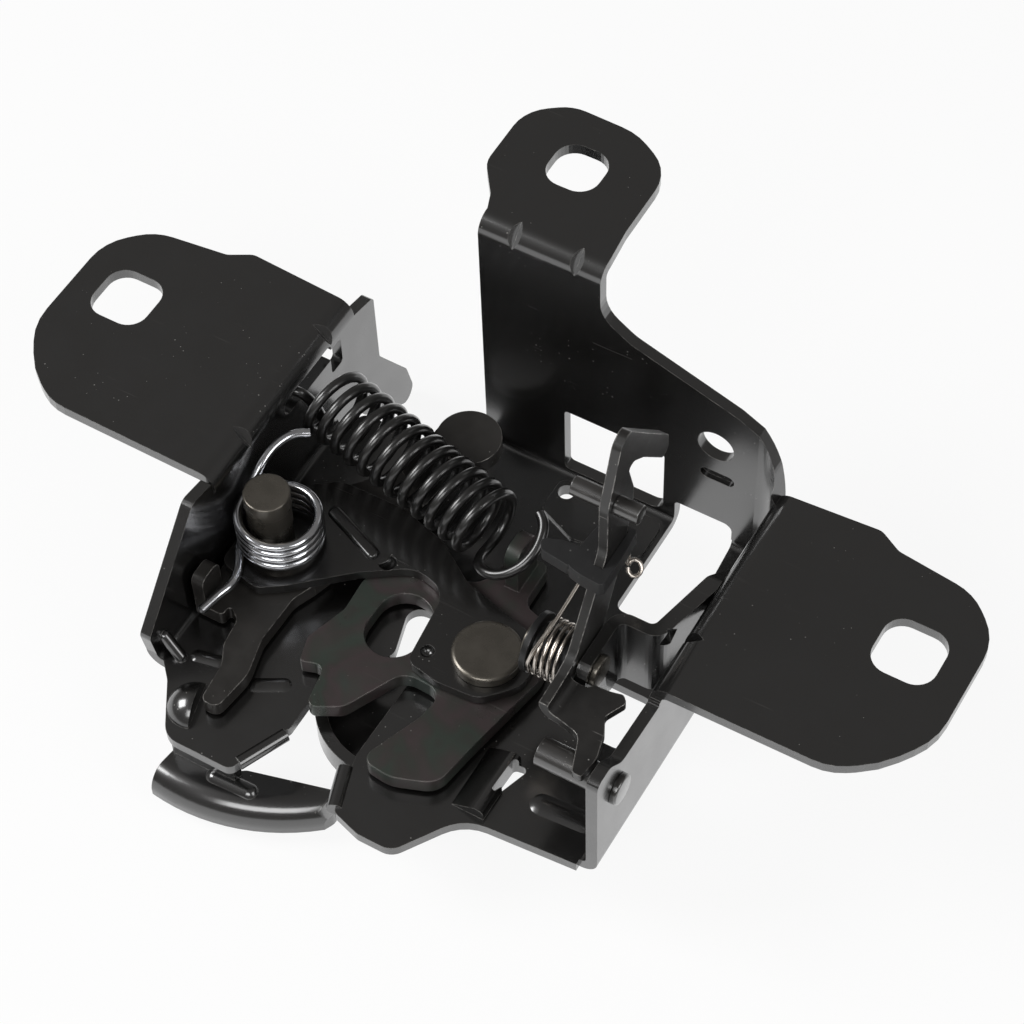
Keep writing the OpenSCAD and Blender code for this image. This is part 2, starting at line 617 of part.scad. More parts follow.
// Arm that climbs behind the claw's spring to a raised round end
module release_arm() {
    low = pawl_z + lobe_rise;
    high = pawl_top + lobe_rise;
    foot = ramp_start;
    head = ramp_start + lobe_rise;
    translate([pawl_x, pawl_y, 0]) rotate([0, 0, arm_way]) {
        translate([0, arm_w / 2, 0]) rotate([90, 0, 0]) linear_extrude(arm_w) polygon([[20, pawl_z],
            [foot + 1, pawl_z], [head + 1, low], [46, low], [46, high], [head, high], [foot, pawl_top],
            [20, pawl_top]]);
        translate([arm_len, 0, low]) cylinder(r = lobe_r, h = pawl_t);
    }
}

module pawl_stud() color("#3d3836") translate([pawl_x, pawl_y, 0]) {
    translate([0, 0, floor_z - rivet_tail_t]) cylinder(d = rivet_tail_d - 1, h = rivet_tail_t);
    head_z = pawl_stud_top - pawl_head_t;
    translate([0, 0, floor_z - 0.1]) cylinder(d = pawl_shank_d, h = head_z - floor_z + 0.1);
    translate([0, 0, plate_top]) cylinder(d = pawl_shank_d + 1, h = 6);
    translate([0, 0, head_z]) cylinder(d = pawl_head_d, h = pawl_head_t - 0.4);
    translate([0, 0, pawl_stud_top - 0.4]) cylinder(d1 = pawl_head_d, d2 = pawl_head_d - 0.8, h = 0.4);
}

// Torsion spring: the coil stands round the stud, its lower leg bears on the pawl's tab
pawl_coil_path = [for (i = [0 : 20 * pawl_turns]) let (g = 200 - 360 * i / 20)
    [pawl_coil_x + pawl_coil_r * cos(g), pawl_coil_y + pawl_coil_r * sin(g),
        pawl_coil_z + pawl_pitch * i / 20]];
pawl_leg_low = [[-43.1, -46.2, pawl_coil_z], [-43.1, -38.6, pawl_coil_z], [-44.2, -33.6, pawl_coil_z],
    [-45.6, -29.6, pawl_coil_z]];
pawl_leg_high = [[-46.7, -20.6, pawl_coil_z + 10.6], [-46.4, -16.4, pawl_coil_z + 13],
    [-45.4, -12, pawl_coil_z + 14.2], [-43.6, -9, pawl_coil_z + 14.4], [-41.2, -7.2, pawl_coil_z + 14.2]];

module pawl_spring() color("#c9ccd0")
    wire(concat(smooth(pawl_leg_low, 3), pawl_coil_path, smooth(pawl_leg_high, 4)), pawl_wire_d / 2);

// Extension spring: from a slot in the left wall to a hook round the claw's tab
claw_coil_a = [-43.3, 3.4, -6.6];
claw_coil_b = [1, -5.7, -10.9];
coil_way = unit(claw_coil_b - claw_coil_a);
coil_side = unit(cross(coil_way, [0, 0, 1]));
coil_up = cross(coil_side, coil_way);
function coil_point(s, g, r) = claw_coil_a + s * (claw_coil_b - claw_coil_a)
    + r * (cos(g) * coil_side + sin(g) * coil_up);
claw_coil_path = [for (i = [0 : 18 * claw_turns])
    coil_point(i / (18 * claw_turns), 20 * i - 90, claw_coil_r)];
claw_loop_path = [coil_point(1.03, -50, claw_coil_r), [3.4, -13.6, -14.6], [7.1, -14, -13.3],
    [10.4, -12, -11.6], [12.3, -8.6, -9.6], [12.4, -5, -8], [11.2, -2, -6.9], [9.6, -0.6, -6.6]];
claw_hook_path = [[-52.2, -0.5, -4], [-49.6, 0, -3.6], [-47.6, 0.6, -4.6], [-45.8, 1.6, -8.5],
    [-44.6, 2.6, -12.9]];

module claw_spring() color("#161616")
    wire(concat(smooth(claw_hook_path, 3), claw_coil_path, smooth(claw_loop_path, 3)), claw_wire_d / 2);

// Lever's stem in [y, z]: the C-hook at its top, the round eye at its hinge and the toe in front
stem_rows = [[lever_y - 6.6, lever_z - 6.4, 6], [lever_y + 6.6, lever_z - 6.4, 6], [-22, -1, 5],
    [-14.6, 13, 6], [-10.4, 26, 4], [-10, 31, 4], [-12.2, 39, 1.5], [-10.2, 39.4, 2], [-6.4, 36.2, 3],
    [1.4, 27, 1], [3.6, 27.4, 1.2], [3.6, 31.8, 1.2], [-5, 42, 8], [-12, 50.5, 3], [-15.2, 48.6, 3],
    [-20, 35, 8], [-20.2, 22, 6], [-32.5, 2, 5], [-36.5, 0.8, 4], [toe_y, 0.2, 0],
    [toe_y, flange_top_z + lever_bend_r, 0], [eye_y, flange_top_z + lever_bend_r, 0],
    [lever_y - 6, flange_top_z - lever_t, 2]];
// Lever's flange in plan: the foot bears on the stop pin, the nose points back
flange_x = lever_x + lever_bend_r + lever_t;
flange_rows = [[flange_x, toe_y, 0], [43.4, -44.6, 3], [46.2, -52.4, 0.8], [48.4, -52.6, 0.8],
    [49, -47.5, 3], [47.6, -42, 3], [45.8, -38.6, 1.5], [48, -34, 1], [46.6, -32.6, 1], [44, -33.2, 1.5],
    [tab_x + sheet_t + 1.8, -33.4, 0.6], [tab_x + sheet_t + 0.8, eye_y, 0.6], [flange_x, eye_y, 0]];

module release_lever() color("#242322") difference() {
    union() {
        side_plate(stem_rows, lever_x, lever_t);
        plate(flange_rows, flange_top_z - lever_t, lever_t);
        translate([flange_x, eye_y, flange_top_z + lever_bend_r]) rotate([90, 0, 0]) rotate([0, 0, 180])
            fold(eye_y - toe_y, lever_bend_r, lever_t);
    }
    translate([lever_x - 1, lever_y, lever_z]) rotate([0, 90, 0])
        cylinder(d = lever_pin_d + 2 * pin_clear, h = lever_t + 2);
    translate([lever_x - 1, cross_pin_y, cross_pin_z]) rotate([0, 90, 0])
        cylinder(d = cross_pin_d - 0.8 + 2 * pin_clear, h = lever_t + 2);
}

// Pin with two stubs, staked through the stem
module cross_stub(x0, x1, d) {
    translate([x0, cross_pin_y, cross_pin_z]) rotate([0, 90, 0]) cylinder(d = d, h = x1 - x0);
}

module lever_cross_pin() color("#2a2928") {
    left = lever_x - cross_pin_len / 2;
    cross_stub(left, lever_x, cross_pin_d);
    cross_stub(left + 1, left + cross_pin_len, cross_pin_d - 0.8);
    cross_stub(lever_x + lever_t, left + cross_pin_len, cross_pin_d);
}

// Hinge rivet: its head is on the bracket's far side
module lever_pin() color("#3a3735") translate([0, lever_y, lever_z]) rotate([0, 90, 0]) {
    translate([0, 0, bush_x - 0.6]) cylinder(d = lever_pin_d, h = tab_x + sheet_t - bush_x + 0.6);
    translate([0, 0, tab_x + sheet_t]) cylinder(d = lever_pin_d + 0.8, h = 1.2);
    translate([0, 0, bush_x - 1.2]) cylinder(d = lever_pin_d + 1, h = 1.2);
}

module lever_bush() color("#1a1a1b") translate([bush_x, lever_y, lever_z]) rotate([0, 90, 0]) difference() {
    union() {
        cylinder(d = bush_flange_d, h = bush_flange_t);
        cylinder(d = bush_core_d, h = bush_len);
    }
    translate([0, 0, -1]) cylinder(d = lever_pin_d + 2 * pin_clear, h = bush_len + 2);
}

// Small torsion spring on the bush: its long leg runs up to the clip
lever_coil_x = bush_x + bush_flange_t + lever_wire_d / 2 + 0.1;
lever_coil_path = [for (i = [0 : 16 * lever_turns]) let (g = 180 + 22.5 * i)
    [lever_coil_x + (lever_wire_d + 0.03) * i / 16, lever_y + lever_coil_r * cos(g),
        lever_z + lever_coil_r * sin(g)]];
lever_leg_path = [[lever_x - 2, -22.8, 14.2], [29.6, -28.6, 6],
    [lever_coil_x, lever_y - lever_coil_r, lever_z + 2]];

module lever_spring() color("#cfc6b8")
    wire(concat(smooth(lever_leg_path, 2), lever_coil_path), lever_wire_d / 2, 6);

// Plastic saddle round the stem, with a wing to the left
module lever_clip() color("#29292a") {
    difference() {
        plate([[lever_x - 5, -24.4, 2], [lever_x - 1, -25.3, 1], [lever_x + 3.9, -25.6, 1],
            [lever_x + 3.9, -17, 1], [lever_x + 3.5, -11, 1], [lever_x - 3.4, -10.6, 2]], clip_z, clip_h);
        side_plate([[-24.9, clip_z - 1, 0], [-21.4, clip_z + clip_h + 1, 0], [-11.6, clip_z + clip_h + 1, 0],
            [-14, clip_z - 1, 0]], lever_x - pin_clear, lever_t + 2 * pin_clear);
    }
    plate([[lever_x - 12, -21.4, 1.2], [lever_x - 10.4, -23.8, 1.2], [lever_x - 4, -24.6, 0.5],
        [lever_x - 4, -19.4, 0.5], [lever_x - 8, -19.8, 1.5]], clip_z + 0.6, clip_h - 0.6);
}

// Stop pin: a shoulder inside the wall, a spigot through it and a rivet head outside
module stop_pin() color("#2b2a29") translate([0, stop_y, stop_z]) rotate([0, 90, 0]) {
    translate([0, 0, right_wall_x - stop_len]) cylinder(d = stop_d, h = stop_len);
    translate([0, 0, right_wall_x - 0.5]) cylinder(d = stop_d - 1.5, h = sheet_t + 1);
    translate([0, 0, right_wall_x + sheet_t]) cylinder(d1 = stop_d + 0.6, d2 = stop_d - 0.8, h = 1.4);
}

base_frame();
claw();
claw_stud();
claw_washer();
pivot_plate();
pawl();
pawl_stud();
pawl_washer();
pawl_spring();
claw_spring();
release_lever();
lever_pin();
lever_bush();
lever_spring();
lever_clip();
lever_cross_pin();
stop_pin();
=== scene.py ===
"""Bonnet latch: finishes, spring wire, turned and stamped pieces, floor, light and camera."""
import json
import math

import bmesh
import bpy
from mathutils import Matrix, Vector


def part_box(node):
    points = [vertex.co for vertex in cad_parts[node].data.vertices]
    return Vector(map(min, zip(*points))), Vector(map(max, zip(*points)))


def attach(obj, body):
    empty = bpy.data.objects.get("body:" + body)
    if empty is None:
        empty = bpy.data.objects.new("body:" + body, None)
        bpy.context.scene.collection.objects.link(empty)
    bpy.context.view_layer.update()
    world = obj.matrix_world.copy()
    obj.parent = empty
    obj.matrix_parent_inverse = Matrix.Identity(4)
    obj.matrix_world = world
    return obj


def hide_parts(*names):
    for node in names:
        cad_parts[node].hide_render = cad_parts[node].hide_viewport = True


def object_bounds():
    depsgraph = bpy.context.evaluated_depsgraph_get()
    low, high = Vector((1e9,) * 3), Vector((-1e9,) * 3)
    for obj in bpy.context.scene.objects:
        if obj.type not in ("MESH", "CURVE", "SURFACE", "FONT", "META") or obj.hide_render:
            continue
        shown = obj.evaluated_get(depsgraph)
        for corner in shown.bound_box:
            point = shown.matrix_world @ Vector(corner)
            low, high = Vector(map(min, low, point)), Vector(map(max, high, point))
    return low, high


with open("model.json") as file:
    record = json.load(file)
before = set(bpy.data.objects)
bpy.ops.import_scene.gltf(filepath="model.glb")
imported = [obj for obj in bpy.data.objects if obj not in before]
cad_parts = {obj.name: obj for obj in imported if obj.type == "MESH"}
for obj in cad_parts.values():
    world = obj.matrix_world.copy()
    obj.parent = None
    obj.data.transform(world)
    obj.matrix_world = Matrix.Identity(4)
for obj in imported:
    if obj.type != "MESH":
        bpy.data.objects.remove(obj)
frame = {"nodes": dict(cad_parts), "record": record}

MM = 0.001
latch = frame["nodes"]
body_of_node = {n: b for b, names in frame["record"]["behaviour"]["bodies"].items() for n in names}
slot_of_node = {s["node"]: s["material_slot"] for s in frame["record"]["subparts"]}
cad_low, cad_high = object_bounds()
scene = bpy.context.scene
scene.view_settings.view_transform = "Standard"

# Heights and axes of the pins and studs, in millimetres
FLOOR_LOW, PLATE_TOP = -30.0, -20.1
rivet_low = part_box("claw_stud")[0].z / MM
hinges = {j["name"]: Vector(j["pos_m"]) / MM for j in frame["record"]["behaviour"]["joints"]}
claw_axis = hinges["claw_hinge"] * Vector((1, 1, 0))
pawl_axis = hinges["pawl_hinge"] * Vector((1, 1, 0))
lever_axis = hinges["lever_hinge"] * Vector((0, 1, 1))
CROSS_PIN_AXIS = Vector((0, -16.7, 33.6))
STOP_AXIS = Vector((0, -48.3, -8.0))


# Shader node groups: what several finishes share

def new_group(name, inputs, outputs):
    """An empty node group with float inputs {name: value} and outputs {name: socket type}."""
    tree = bpy.data.node_groups.new(name, "ShaderNodeTree")
    for label, value in inputs.items():
        socket = tree.interface.new_socket(label, in_out="INPUT", socket_type="NodeSocketFloat")
        socket.default_value = value
    for label, kind in outputs.items():
        tree.interface.new_socket(label, in_out="OUTPUT", socket_type=kind)
    return tree, tree.nodes.new("NodeGroupInput"), tree.nodes.new("NodeGroupOutput")


def add(tree, kind, links=None, values=None, **settings):
    """A node of that kind, with its settings, socket values and incoming links {socket: output}."""
    made = tree.nodes.new(kind)
    for key, value in settings.items():
        setattr(made, key, value)
    for socket, value in (values or {}).items():
        made.inputs[socket].default_value = value
    for socket, source in (links or {}).items():
        tree.links.new(source, made.inputs[socket])
    return made


def spread(tree, source, low, high):
    """Source mapped from low..high to 0..1, clamped and smooth."""
    made = add(tree, "ShaderNodeMapRange", {"Value": source}, {"From Min": low, "From Max": high},
               interpolation_type="SMOOTHSTEP")
    return made.outputs["Result"]


def times(tree, a, b):
    return add(tree, "ShaderNodeMath", {0: a, 1: b}, operation="MULTIPLY").outputs[0]


def scaled(tree, source, number):
    return add(tree, "ShaderNodeMath", {0: source}, {1: number}, operation="MULTIPLY").outputs[0]


def greater(tree, a, b):
    return add(tree, "ShaderNodeMath", {0: a, 1: b}, operation="MAXIMUM").outputs[0]


def worn_edges():
    """Rounded normal along sharp edges, and a broken mask where the finish has worn off them."""
    tree, given, out = new_group(
        "worn edges", {"Round": 0.0004, "Width": 0.0005, "Breakup": 500.0, "Wear": 0.5},
        {"Mask": "NodeSocketFloat", "Normal": "NodeSocketVector"})
    place = add(tree, "ShaderNodeTexCoord").outputs["Object"]
    flat = add(tree, "ShaderNodeNewGeometry").outputs["Normal"]
    soft = add(tree, "ShaderNodeBevel", {"Radius": given.outputs["Round"]}, samples=6).outputs["Normal"]
    wide = add(tree, "ShaderNodeBevel", {"Radius": given.outputs["Width"]}, samples=6).outputs["Normal"]
    along = add(tree, "ShaderNodeVectorMath", {0: wide, 1: flat}, operation="DOT_PRODUCT").outputs["Value"]
    turned = add(tree, "ShaderNodeMath", {1: along}, {0: 1.0}, operation="SUBTRACT").outputs[0]
    edge = spread(tree, turned, 0.02, 0.2)
    patch = add(tree, "ShaderNodeTexNoise", {"Vector": place, "Scale": given.outputs["Breakup"]},
                {"Detail": 4.0, "Roughness": 0.65}).outputs["Fac"]
    broken = spread(tree, patch, 0.36, 0.62)
    worn = times(tree, times(tree, edge, broken), given.outputs["Wear"])
    tree.links.new(worn, out.inputs["Mask"])
    tree.links.new(soft, out.inputs["Normal"])
    return tree


def dipped_coat():
    """Fine orange peel and broad patches, as a dipped or tumbled finish has."""
    tree, given, out = new_group(
        "dipped coat", {"Fine": 2200.0, "Broad": 120.0},
        {"Peel": "NodeSocketFloat", "Patches": "NodeSocketFloat"})
    place = add(tree, "ShaderNodeTexCoord").outputs["Object"]
    fine = add(tree, "ShaderNodeTexNoise", {"Vector": place, "Scale": given.outputs["Fine"]},
               {"Detail": 2.0, "Roughness": 0.5}).outputs["Fac"]
    broad = add(tree, "ShaderNodeTexNoise", {"Vector": place, "Scale": given.outputs["Broad"]},
                {"Detail": 5.0, "Roughness": 0.6}).outputs["Fac"]
    tree.links.new(fine, out.inputs["Peel"])
    tree.links.new(spread(tree, broad, 0.3, 0.7), out.inputs["Patches"])
    return tree


def dust_specks():
    """Fine pale specks of dust and chips, at most half a millimetre across, thicker in some drifts."""
    tree, given, out = new_group(
        "dust specks", {"Spacing": 900.0, "Amount": 0.5}, {"Mask": "NodeSocketFloat"})
    place = add(tree, "ShaderNodeTexCoord").outputs["Object"]
    cells = add(tree, "ShaderNodeTexVoronoi", {"Vector": place, "Scale": given.outputs["Spacing"]},
                {"Randomness": 1.0})
    chance = add(tree, "ShaderNodeSeparateColor", {"Color": cells.outputs["Color"]}).outputs["Red"]
    drift = add(tree, "ShaderNodeTexNoise", {"Vector": place}, {"Scale": 48.0, "Detail": 2.0}).outputs["Fac"]
    size = times(tree, spread(tree, chance, 0.45, 1.0), spread(tree, drift, 0.40, 0.68))
    largest = 0.17
    inside = add(tree, "ShaderNodeMath", {0: cells.outputs["Distance"], 1: scaled(tree, size, largest)},
                 operation="LESS_THAN").outputs[0]
    tree.links.new(times(tree, inside, given.outputs["Amount"]), out.inputs["Mask"])
    return tree


def fine_scratches():
    """Short hairline scratches in one main direction."""
    tree, given, out = new_group(
        "fine scratches", {"Length": 60.0, "Amount": 0.5}, {"Mask": "NodeSocketFloat"})
    place = add(tree, "ShaderNodeTexCoord").outputs["Object"]
    turned = add(tree, "ShaderNodeMapping", {"Vector": place},
                 {"Rotation": (0.3, 0.9, 0.5), "Scale": (1.0, 28.0, 28.0)}).outputs["Vector"]
    lines = add(tree, "ShaderNodeTexNoise", {"Vector": turned, "Scale": given.outputs["Length"]},
                {"Detail": 2.0, "Roughness": 0.4}).outputs["Fac"]
    thin = spread(tree, lines, 0.69, 0.74)
    where = add(tree, "ShaderNodeTexNoise", {"Vector": place}, {"Scale": 55.0, "Detail": 2.0}).outputs["Fac"]
    some = times(tree, thin, spread(tree, where, 0.5, 0.66))
    tree.links.new(times(tree, some, given.outputs["Amount"]), out.inputs["Mask"])
    return tree


EDGES, COAT, DUST, SCRATCHES = worn_edges(), dipped_coat(), dust_specks(), fine_scratches()


# Finishes

STEEL_DUST, WIRE_DUST, PLASTIC_DUST = (0.45, 0.44, 0.42), (0.5, 0.5, 0.5), (0.3, 0.3, 0.29)
BARE_ROUGH, BARE_METAL = 0.34, 0.85
RUBBED_PLASTIC = (0.09, 0.09, 0.09)
# The two inputs and the result of a Mix node, by its kind
MIX_SOCKETS = {"RGBA": (6, 7, 2), "FLOAT": (2, 3, 0)}


def rgb(value):
    return (*value, 1.0)


def blend(tree, kind, mask, under, over):
    """Mix of two colours (RGBA) or two values (FLOAT) by a mask: each is an output or a plain one."""
    *sides, result = MIX_SOCKETS[kind]
    made = add(tree, "ShaderNodeMix", {"Factor": mask}, data_type=kind)
    for side, given in zip(sides, (under, over)):
        if isinstance(given, bpy.types.NodeSocket):
            tree.links.new(given, made.inputs[side])
        else:
            made.inputs[side].default_value = rgb(given) if kind == "RGBA" else given
    return made.outputs[result]


def blend_colours(tree, mask, under, over):
    return blend(tree, "RGBA", mask, under, over)


def blend_values(tree, mask, under, over):
    return blend(tree, "FLOAT", mask, under, over)


def painted_sheen_clouds(tree, sheen_tints):
    """Painted iridescent sheen: thin-oil interference colours painted into the base colour in broad clouds,
    in the order of their list.
    """
    place = add(tree, "ShaderNodeTexCoord").outputs["Object"]
    clouds = add(tree, "ShaderNodeTexNoise", {"Vector": place},
                 {"Scale": 60.0, "Detail": 3.0, "Distortion": 0.4})
    ramp = add(tree, "ShaderNodeValToRGB", {"Fac": clouds.outputs["Fac"]})
    first, last = 0.34, 0.68
    stops = ramp.color_ramp.elements
    while len(stops) < len(sheen_tints):
        stops.new(0.5)
    for i, tint in enumerate(sheen_tints):
        stops[i].position = first + (last - first) * i / (len(sheen_tints) - 1)
        stops[i].color = rgb(tint)
    return ramp.outputs["Color"]


def use(tree, group, **values):
    """Outputs of a shader node group placed in that tree with its own values."""
    made = add(tree, "ShaderNodeGroup", node_tree=group)
    for label, value in values.items():
        made.inputs[label].default_value = value
    return made.outputs


def new_finish(name):
    material = bpy.data.materials.new(name)
    material.use_nodes = True
    return material, material.node_tree, material.node_tree.nodes["Principled BSDF"]


def set_sockets(surface, values):
    for socket, value in values.items():
        surface.inputs[socket].default_value = value


def add_grain(tree, surface, height, strength, depth, normal=None):
    """Fine relief from a height mask, by a depth in millimetres, on the rounded normal where there is one."""
    links = {"Height": height, "Normal": normal} if normal else {"Height": height}
    bump = add(tree, "ShaderNodeBump", links, {"Strength": strength, "Distance": depth * MM})
    tree.links.new(bump.outputs["Normal"], surface.inputs["Normal"])


def coated_steel(name, colours, rough, edge, wear=0.5, width=0.45, coat=0.0, metal=0.0,
                 dust=0.4, scratch=0.3, specular=0.5, gloss=0.16, coat_ior=1.5):
    """Dark coated steel with worn edges in the edge colour, dust and scratches.

    Two colours make patches, and more than two make a painted iridescent sheen in broad clouds, standing in
    for thin-oil interference colours."""
    material, tree, surface = new_finish(name)
    edges = use(tree, EDGES, Round=0.3 * MM, Width=width * MM, Breakup=520.0, Wear=wear)
    skin = use(tree, COAT)
    specks = use(tree, DUST, Amount=dust)["Mask"]
    marks = use(tree, SCRATCHES, Amount=scratch)["Mask"]
    if len(colours) == 2:
        colour = blend_colours(tree, skin["Patches"], *colours)
    else:
        # Painted iridescent sheen: fixed green and purple tints in the base colour
        colour = painted_sheen_clouds(tree, colours)
    bare = greater(tree, edges["Mask"], marks)
    colour = blend_colours(tree, bare, colour, edge)
    colour = blend_colours(tree, specks, colour, STEEL_DUST)
    tree.links.new(colour, surface.inputs["Base Color"])
    roughness = blend_values(tree, skin["Patches"], rough - 0.05, rough + 0.07)
    tree.links.new(blend_values(tree, bare, roughness, BARE_ROUGH), surface.inputs["Roughness"])
    tree.links.new(blend_values(tree, bare, metal, BARE_METAL), surface.inputs["Metallic"])
    add_grain(tree, surface, skin["Peel"], strength=0.35, depth=0.012, normal=edges["Normal"])
    set_sockets(surface, {"Specular IOR Level": specular, "Coat Weight": coat, "Coat Roughness": gloss,
                          "Coat IOR": coat_ior})
    return material


def drawn_wire(name, colours, rough, metal, coat=0.0):
    """Wire and washers, bright or blackened: fine grain, patches of two colours and dust."""
    material, tree, surface = new_finish(name)
    skin = use(tree, COAT, Fine=3000.0, Broad=260.0)
    specks = use(tree, DUST, Amount=0.2)["Mask"]
    colour = blend_colours(tree, skin["Patches"], *colours)
    tree.links.new(blend_colours(tree, specks, colour, WIRE_DUST), surface.inputs["Base Color"])
    tree.links.new(blend_values(tree, skin["Patches"], rough, rough + 0.1), surface.inputs["Roughness"])
    add_grain(tree, surface, skin["Peel"], strength=0.2, depth=0.0006)
    set_sockets(surface, {"Metallic": metal, "Coat Weight": coat, "Coat Roughness": 0.14})
    return material


def moulded_plastic(name, colours, rough):
    """Moulded plastic: fine spark texture, paler rubbed edges and dust."""
    material, tree, surface = new_finish(name)
    skin = use(tree, COAT, Fine=3600.0, Broad=180.0)
    edges = use(tree, EDGES, Round=0.25 * MM, Width=0.3 * MM, Breakup=700.0, Wear=0.35)
    specks = use(tree, DUST, Spacing=700.0, Amount=0.25)["Mask"]
    colour = blend_colours(tree, skin["Patches"], *colours)
    colour = blend_colours(tree, edges["Mask"], colour, RUBBED_PLASTIC)
    tree.links.new(blend_colours(tree, specks, colour, PLASTIC_DUST), surface.inputs["Base Color"])
    roughness = blend_values(tree, skin["Peel"], rough - 0.06, rough + 0.08)
    tree.links.new(roughness, surface.inputs["Roughness"])
    add_grain(tree, surface, skin["Peel"], strength=0.5, depth=0.02, normal=edges["Normal"])
    return material


FINISHES = {
    "frame_black": coated_steel(
        "electrocoat black", ((0.0030, 0.0027, 0.0024), (0.0020, 0.0018, 0.0017)),
        rough=0.42, edge=(0.32, 0.31, 0.29), wear=0.5, width=0.3, coat=1.0, gloss=0.18, coat_ior=2.05,
        specular=0.25, dust=0.35, scratch=0.08),
    "plate_black": coated_steel(
        "plate black", ((0.0050, 0.0045, 0.0040), (0.0032, 0.0029, 0.0027)),
        rough=0.42, edge=(0.20, 0.19, 0.18), wear=0.5, width=0.35, coat=0.9, gloss=0.2, coat_ior=1.8,
        specular=0.25, scratch=0.1),
    # The claw's green and purple clouds are a painted iridescent sheen over its phosphate grey
    "claw_phosphate": coated_steel(
        "claw phosphate", ((0.041, 0.039, 0.035), (0.038, 0.049, 0.040), (0.044, 0.042, 0.038),
                           (0.055, 0.042, 0.043), (0.046, 0.044, 0.040), (0.037, 0.049, 0.043)),
        rough=0.32, edge=(0.6, 0.58, 0.54), wear=0.9, width=0.4, metal=0.3,
        specular=0.7, dust=1.0, scratch=0.15),
    "pawl_black": coated_steel(
        "pawl black", ((0.015, 0.0138, 0.0125), (0.021, 0.0192, 0.0175)),
        rough=0.42, edge=(0.5, 0.48, 0.45), wear=0.7, width=0.4, dust=0.5, scratch=0.2),
    "lever_black": coated_steel(
        "lever black", ((0.010, 0.0095, 0.009), (0.015, 0.014, 0.013)),
        rough=0.38, edge=(0.6, 0.58, 0.55), wear=0.8, width=0.45, coat=0.5, gloss=0.22,
        dust=0.5, scratch=0.4),
    "stud_steel": coated_steel(
        "stud satin", ((0.135, 0.124, 0.106), (0.17, 0.156, 0.134)),
        rough=0.27, edge=(0.24, 0.225, 0.2), wear=0.5, width=0.3, metal=0.8, dust=1.0),
    "pin_black": coated_steel(
        "pin satin", ((0.012, 0.011, 0.010), (0.018, 0.0165, 0.015)),
        rough=0.32, edge=(0.4, 0.39, 0.36), wear=0.6, width=0.35, coat=1.0, gloss=0.2, coat_ior=1.9),
    "washer_steel": drawn_wire(
        "washer steel", ((0.48, 0.46, 0.43), (0.38, 0.36, 0.34)), rough=0.3, metal=1.0),
    "spring_zinc": drawn_wire(
        "bright zinc", ((0.74, 0.75, 0.78), (0.62, 0.63, 0.66)), rough=0.13, metal=1.0),
    "spring_steel": drawn_wire(
        "bright spring steel", ((0.66, 0.60, 0.54), (0.52, 0.48, 0.44)), rough=0.18, metal=1.0),
    "spring_black": drawn_wire(
        "gloss black wire", ((0.0035, 0.0032, 0.003), (0.006, 0.0056, 0.0052)),
        rough=0.34, metal=0.0, coat=1.0),
    "bush_plastic": moulded_plastic(
        "bush plastic", ((0.008, 0.008, 0.0084), (0.012, 0.012, 0.0126)), rough=0.34),
    "clip_plastic": moulded_plastic(
        "clip plastic", ((0.012, 0.012, 0.0124), (0.016, 0.016, 0.0166)), rough=0.48),
}

for node_name, solid in latch.items():
    solid.data.materials.clear()
    solid.data.materials.append(FINISHES[slot_of_node[node_name]])


# From a shape to a piece of the part

def round_off(shape, edges, width, segments):
    """Rounds those edges of a bmesh by a width in millimetres."""
    bmesh.ops.bevel(shape, geom=edges, offset=width * MM, offset_type="OFFSET", segments=segments,
                    profile=0.5, affect="EDGES", clamp_overlap=True, material=-1)


def ease(shape, width, segments=3, least=28.0):
    """Rounds the edges of a bmesh that are sharper than least degrees, by a width in millimetres."""
    sharp = [e for e in shape.edges if e.is_manifold and e.calc_face_angle() > math.radians(least)]
    round_off(shape, sharp, width, segments)


def mesh_from(shape):
    """Smooth-shaded mesh of a bmesh, which is freed."""
    mesh = bpy.data.meshes.new("shape")
    shape.to_mesh(mesh)
    shape.free()
    mesh.shade_smooth()
    return mesh


def finished(name, mesh, node, finish=None):
    """That mesh as a piece on the node's body, in the node's place unless it has a finish of its own."""
    slot = finish or slot_of_node[node]
    mesh.name = name
    mesh.materials.append(FINISHES[slot])
    piece = bpy.data.objects.new(name, mesh)
    scene.collection.objects.link(piece)
    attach(piece, body_of_node[node])
    if not finish:
        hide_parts(node)
    return piece


def even_light(piece):
    """Keeps flat faces flat in the light beside their eased edges."""
    piece.modifiers.new("even_light", "WEIGHTED_NORMAL").keep_sharp = True


# Spring wire: smooth round wire in the place of the faceted solids

def wire_piece(name, node, path, radius, finish=None):
    """Round wire through the path's points in millimetres, with cut ends."""
    line = bpy.data.curves.new(name, "CURVE")
    line.dimensions = "3D"
    line.bevel_depth = radius * MM
    line.bevel_resolution = 5
    line.resolution_u = 4
    line.use_fill_caps = True
    spline = line.splines.new("BEZIER")
    spline.bezier_points.add(len(path) - 1)
    for knot, place in zip(spline.bezier_points, path):
        knot.co = Vector(place) * MM
        knot.handle_left_type = knot.handle_right_type = "AUTO"
    holder = bpy.data.objects.new(name + "_line", line)
    scene.collection.objects.link(holder)
    bpy.context.view_layer.update()
    evaluated = holder.evaluated_get(bpy.context.evaluated_depsgraph_get())
    mesh = bpy.data.meshes.new_from_object(evaluated)
    bpy.data.objects.remove(holder)
    mesh.shade_smooth()
    finished(name, mesh, node, finish)


def coil(turns, point, start, step):
    """Points round a coil: point(share, angle) for every step of degrees."""
    count = round(turns * 360 / abs(step))
    return [point(i / count, math.radians(start + i * step)) for i in range(count + 1)]


# Torsion spring round the pawl's stud: wound clockwise, with a leg on the pawl's tab and a leg up and back
PAWL_WIRE_R, PAWL_COIL_R = 1.0, 8.3
PAWL_TURNS, PAWL_PITCH = 4.05, 2.12
pawl_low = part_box("pawl_spring")[0].z / MM + PAWL_WIRE_R
pawl_coil = Vector((-38.6, -24.4, pawl_low))


